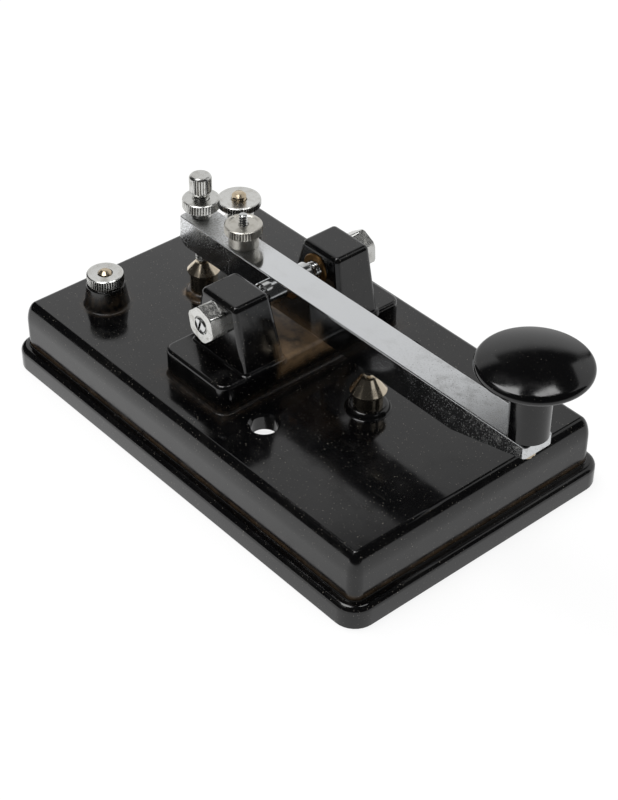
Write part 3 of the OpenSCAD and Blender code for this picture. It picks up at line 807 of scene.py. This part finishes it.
# %% Terminals
WASHERS_TOP = high_of("terminal_washers").z
WASHER_R = 4.7
TERMINAL_PITCH = 0.8
knurled("terminal_nut_near", WASHERS_TOP - 0.35, 4, 1.75, 0.12, 46)
knurled("terminal_nut_far", high_of("terminal_nut_far").z - 2, 4, SHANK_R, 0.12, 52)
for name, r, proud in (("terminal_screw_near", 1.72, 0), ("terminal_screw_far", 2.0, 0.8)):
    at, low, top = stand_of(name)
    top += proud
    threads = (top - 4, top - 0.7)
    profile = [(0, low), (r - 0.4, low), (r, low + 0.4), *climb(r, *threads, TERMINAL_PITCH / 6)]
    profile += [(r, top - 0.7), (r - 0.7, top), (0, top)]
    turned(name + "_shank", profile, upright(at), BRASS, "base", "brass", name, 50,
           sides=48, shape=thread(TERMINAL_PITCH, TERMINAL_PITCH * 0.45, *threads))


# %% The terminals' washers
bm = bmesh.new()
low, high = low_of("terminal_washers").z, WASHERS_TOP - 0.38
middle = (low + high) / 2
for name in ("terminal_screw_near", "terminal_screw_far"):
    for z0, z1 in ((low, middle), (middle, high)):
        profile = [(SHANK_R, z0), (WASHER_R - 0.1, z0), (WASHER_R, z0 + 0.05)]
        profile += [(WASHER_R, z1 - 0.05), (WASHER_R - 0.1, z1), (SHANK_R, z1)]
        spin(bm, profile, upright(middle_of(name)), 64, ring=True)
add_piece("terminal_washer_pairs", bm, STEEL, "base", "terminal_washers")


# %% [markdown]
# Current passes where two pointed pieces meet. The posts are nickel plated, with an overhanging rim and a
# cone that narrows to a small flat, so that dirt has little to lie on.

# %% Contact posts
POST_R = 3.8
FLAT_R = 1.95


def make_post(name, rim_r, rim_z):
    at, low, top = stand_of(name)
    foot = BASE_H + BOSS_H
    profile = [(0, low), (1.7, low), (2.0, low + 0.3), (2.0, foot), (POST_R, foot), (POST_R, rim_z - 0.8)]
    profile += [(POST_R + 0.2, rim_z - 0.5), (rim_r - 0.12, rim_z - 0.5), (rim_r, rim_z - 0.38)]
    profile += [(rim_r, rim_z - 0.1), (rim_r - 0.15, rim_z + 0.05)]
    profile += [(FLAT_R + 0.12, top - 0.06), (FLAT_R, top), (0, top)]
    turned(name + "_post", profile, upright(at), NICKEL, "base", "nickel", name, 28)


def make_lever_contact():
    name = "lever_contact"
    at, low, _ = stand_of(name)
    disc, disc_r, rivet_r, rivet_z = LEVER_BOTTOM - 2.6, 3.6, 1.45, LEVER_BOTTOM + 3.5
    profile = [(0, low), (0.7, low), (1.1, low + 0.35), (1.1, disc), (disc_r - 0.3, disc)]
    profile += [(disc_r, disc + 0.3), (disc_r, LEVER_BOTTOM), (rivet_r, LEVER_BOTTOM)]
    profile += [(rivet_r, rivet_z), (0, rivet_z)]
    turned(name + "_point", profile, upright(at), BRIGHT, "lever", "nickel", name, sides=64)


make_post("rear_contact", 4.4, 27.7)
make_post("front_contact", 4.7, 26)
make_lever_contact()


# %% [markdown]
# The lever turns on a cross shaft whose ends are hollow cones, between two pointed screws. Each screw
# runs in a brass bush moulded into a pillar and is held by a hexagonal lock nut on the outside, and a
# slot takes the screwdriver that sets the play.

# %% Pivot hardware
HEX_ACROSS = 9.0
PIVOT_R = 2.5
PIVOT_PITCH = 0.8
SCREW_END_R = 2.1
SLOT_LEAN = 17
CONE_DEPTH = 2.4
BUSH_INNER_END = 10.0


def slot_cutter(size, place):
    bm = bmesh.new()
    bmesh.ops.create_cube(bm, size=1)
    bmesh.ops.scale(bm, vec=size, verts=bm.verts)
    bmesh.ops.transform(bm, matrix=place, verts=bm.verts)
    return bm


def make_trunnion():
    end = high_of("trunnion").y
    half = [(0, end - CONE_DEPTH), (2.0, end), (SHAFT_R - 0.3, end), (SHAFT_R, end - 0.3)]
    profile = half + [(r, -z) for r, z in half[::-1]]
    place = along_y(PIVOT, 1)
    turned("trunnion_shaft", profile, place, BRIGHT, "lever", "steel", "trunnion", sides=64)


def make_bushes():
    bm = bmesh.new()
    low, high = BUSH_INNER_END, high_of("pivot_bushes").y
    profile = [(2.55, low + 0.25), (2.8, low), (BUSH_R - 0.25, low), (BUSH_R - 0.02, low + 0.25)]
    profile += [(BUSH_R - 0.02, high), (2.55, high)]
    for side in (-1, 1):
        spin(bm, profile, along_y(PIVOT, side), 64, ring=True)
    add_piece("pivot_bush_pair", bm, BRONZE, "base", "pivot_bushes")


def make_pivot_screw(name, side):
    tip, end = sorted((abs(low_of(name).y), abs(high_of(name).y)))
    shoulder, last = tip + CONE_DEPTH, end - 2.4
    profile = [(0, tip), (1.8, shoulder - 0.2), (1.9, shoulder)]
    profile += climb(PIVOT_R, shoulder + 0.5, last, PIVOT_PITCH / 6)
    profile += [(SCREW_END_R, end - 2), (SCREW_END_R, end - 0.3), (SCREW_END_R - 0.3, end), (0, end)]
    bm = bmesh.new()
    cut = thread(PIVOT_PITCH, 0.34, shoulder + 0.4, last)
    spin(bm, profile, along_y(PIVOT, side), 48, cut)
    lean = Matrix.Rotation(math.radians(SLOT_LEAN), 4, "Y")
    slot = slot_cutter((0.75, 3, 6), Matrix.Translation((PIVOT.x, side * end, PIVOT.z)) @ lean)
    bm = boolean(bm, slot, "DIFFERENCE")
    add_piece(name + "_threaded", bm, BRIGHT, name, name, 50)


def make_pivot_nut(name, side, corner_angle):
    near, far = sorted(abs(v) for v in (low_of(name).y, high_of(name).y))
    corner = HEX_ACROSS / math.sqrt(3)
    bore, c = SCREW_END_R + 0.05, 0.3
    worn = corner - HEX_ACROSS / 2 - 0.35
    profile = [(bore, near), (corner - 0.3, near), (corner, near + 0.25), (corner, far - c)]
    profile += [(corner - worn * i / 5, far - c + c * i / 5) for i in range(1, 6)]
    profile += [(bore + 0.35, far), (bore, far - 0.3)]
    start = math.radians(corner_angle)
    across = hexagon(HEX_ACROSS, bore + 1.4)

    def shape(r, z, a):
        return across(r, z, a - start)

    turned(name + "_hexagon", profile, along_y(PIVOT, side), CHROME, name, "chrome", name, 24,
           sides=120, shape=shape, ring=True, start=start)


make_trunnion()
make_bushes()
make_pivot_screw("pivot_screw_near", -1)
make_pivot_screw("pivot_screw_far", 1)
make_pivot_nut("pivot_nut_near", -1, -18.5)
make_pivot_nut("pivot_nut_far", 1, 27)


# %% [markdown]
# The return spring pulls the rear of the lever down. It is a close coil of steel wire with a hook at each
# end, one through the eye of the adjusting stud and one through the eye of an anchor in the base. The
# wire is a curve with a round section, cut in the middle coil into a lower and an upper half.

# %% The return spring
WIRE_R = 0.25
COIL_R = 1.9
COILS = 5
HOOK_R = 1.1
HOOK_SEAT = 1.2
EYE_R = 1.3


def wire_points(x, low_eye, high_eye):
    """The wire's centre line: lower hook, coils, upper hook."""
    low, high = low_eye + HOOK_SEAT, high_eye - HOOK_SEAT
    coil_low, coil_high = low + 1.6, high - 1.6

    def hook(z, direction, first, last):
        angles = [math.radians(first + (last - first) * i / 16) for i in range(17)]
        return [(x, HOOK_R * math.sin(a), z + direction * HOOK_R * math.cos(a)) for a in angles]

    steps = 24 * COILS
    coil = []
    for i in range(steps + 1):
        a = TURN / 4 + TURN * COILS * i / steps
        z = coil_low + (coil_high - coil_low) * i / steps
        coil.append((x + COIL_R * math.cos(a), COIL_R * math.sin(a), z))
    rise = [(x, HOOK_R, low + 0.7), (x, HOOK_R + 0.4, low + 1.3)]
    fall = [(x, HOOK_R + 0.4, high - 1.3), (x, HOOK_R, high - 0.7)]
    return hook(low, -1, -110, 90) + rise + coil + fall + hook(high, 1, 90, -110)


def bent_wire(points):
    """A mesh of the wire along these centre points, made from a curve with a round section."""
    path = bpy.data.curves.new("wire", "CURVE")
    path.dimensions = "3D"
    path.bevel_depth = WIRE_R
    path.bevel_resolution = 3
    path.use_fill_caps = True
    spline = path.splines.new("POLY")
    spline.points.add(len(points) - 1)
    for point, at in zip(spline.points, points):
        point.co = (*at, 1)
    holder = new_object("wire", path)
    bm = computed(holder)
    bpy.data.objects.remove(holder)
    bmesh.ops.remove_doubles(bm, verts=bm.verts, dist=0.001)
    return bm


# %% The spring in two halves
x = middle_of("tension_stud").x
low_eye, high_eye = high_of("spring_anchor").z - EYE_R, low_of("tension_stud").z + EYE_R
points = wire_points(x, low_eye, high_eye)
half = len(points) // 2
cut = points[half][2]
lower = (points[:half + 1], "lower", "base", "lever", low_eye + 0.5, cut - 0.4)
upper = (points[half:], "upper", "lever", "tension_stud", cut + 0.4, high_eye - 0.5)
for wire, label, first, last, start, end in (lower, upper):
    name = "return_spring_" + label
    spring = add_piece(name, bent_wire(wire), SPRING_STEEL, None, "return_spring", 60)
    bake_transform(spring)


# %% [markdown]
# The stud that tightens the spring is threaded above and flattened below into an eye for the hook. Its
# real thread is about 0.5 mm a turn; it is drawn at 0.75 mm so that the turns show.

# %% The tension stud
STUD_R = 1.15
STUD_PITCH = 0.75


def make_stud():
    name = "tension_stud"
    at, low, top = stand_of(name)
    shank_low = LEVER_BOTTOM - 0.6
    profile = [(0, shank_low), (STUD_R, shank_low)]
    profile += climb(STUD_R, shank_low + 0.3, top - 0.2, STUD_PITCH / 6) + [(STUD_R - 0.3, top), (0, top)]
    bm = bmesh.new()
    cut = thread(STUD_PITCH, 0.33, shank_low + 0.2, top - 0.15)
    spin(bm, profile, Matrix.Translation((at.x, 0, 0)), 32, cut)
    middle = low + EYE_R
    angles = [math.pi * i / 16 for i in range(17)]
    arch = [(EYE_R * math.cos(a), middle - EYE_R * math.sin(a)) for a in angles]
    face = [(EYE_R, shank_low + 0.1)] + arch + [(-EYE_R, shank_low + 0.1)]
    lug = bmesh.new()
    near, far = ([lug.verts.new((at.x + x, y, z)) for x, z in face] for y in (-0.5, 0.5))
    lug.faces.new(near)
    lug.faces.new(far[::-1])
    wrap(lug, near, far)
    hole = bmesh.new()
    spin(hole, [(0, -1), (0.6, -1), (0.6, 1), (0, 1)], along_y(Vector((at.x, 0, middle)), 1), 32)
    lug = boolean(lug, hole, "DIFFERENCE")
    bm = boolean(bm, lug, "UNION")
    add_piece(name + "_threaded", bm, BRIGHT, name, name, 50)


make_stud()


# %% [markdown]
# Under the base each screw ends in a washer and a nut, and two brass straps carry the current from the
# terminals to the spring's anchor and to the front contact. They show only when the key is turned over.

# %% Washers and nuts under the base
STRAP_T = 0.8
UNDER_WASHER = (4.5, 0.8)
UNDER_NUT = (7, 3.2)
washers, nuts = bmesh.new(), bmesh.new()
r, thickness = UNDER_WASHER
across, height = UNDER_NUT
corner = across / math.sqrt(3)
for name in STANDING:
    place = upright(middle_of(name))
    top = CEILING - PAD_H - (0 if name == "rear_contact" else STRAP_T)
    low = top - thickness
    profile = [(SHANK_R, low), (r - 0.15, low), (r, low + 0.12)]
    profile += [(r, top - 0.12), (r - 0.15, top), (SHANK_R, top)]
    spin(washers, profile, place, 64, ring=True)
    low, high = low - height, low
    profile = [(SHANK_R, low + 0.25), (SHANK_R + 0.3, low), (3.4, low), (corner, low + 0.45)]
    profile += [(corner, high - 0.2), (corner - 0.2, high), (SHANK_R, high)]
    spin(nuts, profile, place, 96, hexagon(across, SHANK_R + 0.5), ring=True)
add_piece("under_washer_set", washers, STEEL, "base", "under_washers")
add_piece("under_nut_set", nuts, BRASS, "base", "under_nuts")


# %% The knob's screw
name = "knob_screw"
at, low, top = stand_of(name)
head_r, seat, shank = high_of(name).x - at.x, low + 2.5, 1.5
profile = [(0, low), *arc((head_r - 0.7, low + 0.7), 0.7, -90, 0), (head_r, seat), (shank, seat)]
profile += [(shank, top - 0.3), (shank - 0.3, top), (0, top)]
bm = bmesh.new()
spin(bm, profile, upright(at), 64)
slot = slot_cutter((6, 0.8, 1.6), Matrix.Translation((at.x, 0, low)))
bm = boolean(bm, slot, "DIFFERENCE")
add_piece("knob_screw_head", bm, BRASS, "lever", name)


# %% The straps and the spring's anchor keep their solids and take a finish
for name in ("strap_lever", "strap_contact", "spring_anchor"):
    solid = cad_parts[name]
    solid.data.materials.clear()
    solid.data.materials.append(BRASS)
    weld = solid.modifiers.new("weld", "WELD")
    weld.merge_threshold = 1e-6
    edge = solid.modifiers.new("broken edges", "BEVEL")
    edge.width = 0.1 * MM
    edge.segments = 2
    edge.limit_method = "ANGLE"
    edge.angle_limit = math.radians(40)
    print(name, "keeps its solid")


# %% [markdown]
# A glossy black thing is lit by what it mirrors. The photographer had a white floor, a white card close
# behind the key, dimmer ones to the right and left and two soft boxes high up; the rest was dark.
# The cards are seen by reflections alone, so they never stand in the way of another view. The floor and
# the world answer the camera with white, and the floor keeps a little of the shadow.

# %% Directions and rays
TURN_OF_VIEW = math.radians(CAMERA_TURN[0])
AWAY = Vector((-math.sin(TURN_OF_VIEW), math.cos(TURN_OF_VIEW), 0))
ASIDE = Vector((AWAY.y, -AWAY.x, 0))
UP = Vector((0, 0, 1))
WHITE = "#ffffff"


print("away from the camera", AWAY)


def sees(tree, *kinds):
    """1 for rays of the given kinds, otherwise 0."""
    rays = node(tree, "LightPath", {}).node.outputs
    total = rays[kinds[0]]
    for kind in kinds[1:]:
        total = node(tree, "Math", {0: total, 1: rays[kind]}, operation="MAXIMUM")
    return total


# %% Floor and cards
def studio_material(name):
    """A material with no shader yet, its tree and its coordinates in metres."""
    material = bpy.data.materials.new(name)
    material.use_nodes = True
    tree = material.node_tree
    tree.nodes.clear()
    return material, tree, node(tree, "TexCoord", {}, "Object")


def plane_object(name, corners, material):
    mesh = bpy.data.meshes.new(name)
    mesh.from_pydata([tuple(c * MM) for c in corners], [], [(0, 1, 2, 3)])
    mesh.materials.append(material)
    made = new_object(name, mesh)
    return made


def floor_material():
    """White for the camera with a faint shadow; for reflections, a lit floor that fades with distance."""
    material, tree, place = studio_material("white_floor")
    lit = 1.0
    for direction, start, end, level in ((-AWAY, 0.11, 0.3, 0.08), (ASIDE, -0.07, 0.01, 0.71)):
        along = node(tree, "VectorMath", {0: place, 1: direction}, 1, operation="DOT_PRODUCT")
        steps = {0: along, 1: start, 2: end, 3: 1.0, 4: level}
        fade = node(tree, "MapRange", steps, interpolation_type="SMOOTHSTEP")
        lit = node(tree, "Math", {0: fade, 1: lit}, operation="MULTIPLY")
    mirrored = node(tree, "Emission", {"Color": WHITE, "Strength": lit})
    glow = node(tree, "Emission", {"Color": WHITE, "Strength": 0.84})
    paper = node(tree, "BsdfDiffuse", {"Color": (0.2, 0.2, 0.2, 1)})
    shown = node(tree, "AddShader", {0: glow, 1: paper})
    glossy = sees(tree, "Is Glossy Ray", "Is Transmission Ray")
    node(tree, "OutputMaterial", {0: node(tree, "MixShader", {0: glossy, 1: shown, 2: mirrored})})
    return material


def card(name, centre, along, half_width, low, high, levels, slope=0.0):
    """A card that only reflections see. levels are (height, strength) steps, and slope lowers them."""
    material, tree, place = studio_material(name)
    aside = node(tree, "VectorMath", {0: place, 1: along}, 1, operation="DOT_PRODUCT")
    height = node(tree, "SeparateXYZ", {0: place}, 2)
    reached = node(tree, "Math", {0: aside, 1: slope, 2: height}, operation="MULTIPLY_ADD")
    strength = levels[0][1]
    for (z0, s0), (z1, s1) in zip(levels, levels[1:]):
        rise = node(tree, "MapRange", {0: reached, 1: z0 * MM, 2: z1 * MM, 3: 0, 4: s1 - s0})
        strength = sum_of(tree, strength, (rise, 1.0))
    node(tree, "OutputMaterial", {0: node(tree, "Emission", {"Color": WHITE, "Strength": strength})})
    left, right = (centre + along * s * half_width for s in (-1, 1))
    corners = [left + UP * low, right + UP * low, right + UP * high, left + UP * high]
    made = plane_object(name, corners, material)
    made.visible_camera = False
    made.visible_diffuse = False
    made.visible_shadow = False


FAR = 1500
BACK = ((0, 0.95), (60, 0.82), (100, 0.72), (150, 0.66), (170, 0.6), (198, 0.03))
TALL = ((150, 0.62), (200, 0.6), (232, 0.03))
LEFT = ((270, 0.12), (360, 0.2), (430, 0.9), (620, 1.1))
edges = [Vector((x, y, 0)) for x, y in ((-FAR, -FAR), (FAR, -FAR), (FAR, FAR), (-FAR, FAR))]
plane_object("floor", edges, floor_material())
card("back_card", AWAY * 112 + ASIDE * 10, ASIDE, 127, 0, 260, BACK, 0.277)
card("tall_card", AWAY * 111 - ASIDE * 60, ASIDE, 57, 150, 240, TALL)
card("right_card", ASIDE * 645 + AWAY * 500, AWAY, 490, 0, 1000, ((0, 0.65),))
card("left_card", ASIDE * -250 - AWAY * 130, AWAY, 110, 200, 560, LEFT)


# %% Soft boxes
def soft_box(name, away, aside, size, radiance=5.0):
    """A lamp 800 mm above the knob, aimed at the key. The power gives its face the radiance asked for."""
    data = bpy.data.lights.new(name, "AREA")
    data.shape = "RECTANGLE"
    data.size, data.size_y = (s * MM for s in size)
    data.energy = radiance * math.pi * data.size * data.size_y
    lamp = new_object(name, data)
    place = Vector((KNOB.x, 0, 860)) + AWAY * away + ASIDE * aside
    lamp.location = place * MM
    towards = Vector((BASE.x, 0, 30)) - place
    lamp.rotation_euler = towards.to_track_quat("-Z", "Y").to_euler()
    lamp.visible_camera = False


soft_box("soft_box_left", 126.4, -272, (430, 320))
soft_box("soft_box_right", 201.6, 158.4, (105, 230))


# %% The room: white for the camera, an even light for matt surfaces, nearly dark for mirrors
EVEN_LIGHT = 0.72
DIM_ROOM = 0.03
made = bpy.data.worlds.new("room")
bpy.context.scene.world = made
made.use_nodes = True
tree = made.node_tree
mirrored = sees(tree, "Is Glossy Ray", "Is Transmission Ray")
dimmed = {0: mirrored, 1: DIM_ROOM - EVEN_LIGHT, 2: EVEN_LIGHT}
even = node(tree, "Math", dimmed, operation="MULTIPLY_ADD")
level = node(tree, "Math", {0: sees(tree, "Is Camera Ray"), 1: even}, operation="MAXIMUM")
sky = tree.nodes["Background"]
sky.inputs["Color"].default_value = linear(WHITE)
tree.links.new(level, sky.inputs["Strength"])


# %% [markdown]
# Last, the view layer is brought up to date.

# %% The end
bpy.context.view_layer.update()
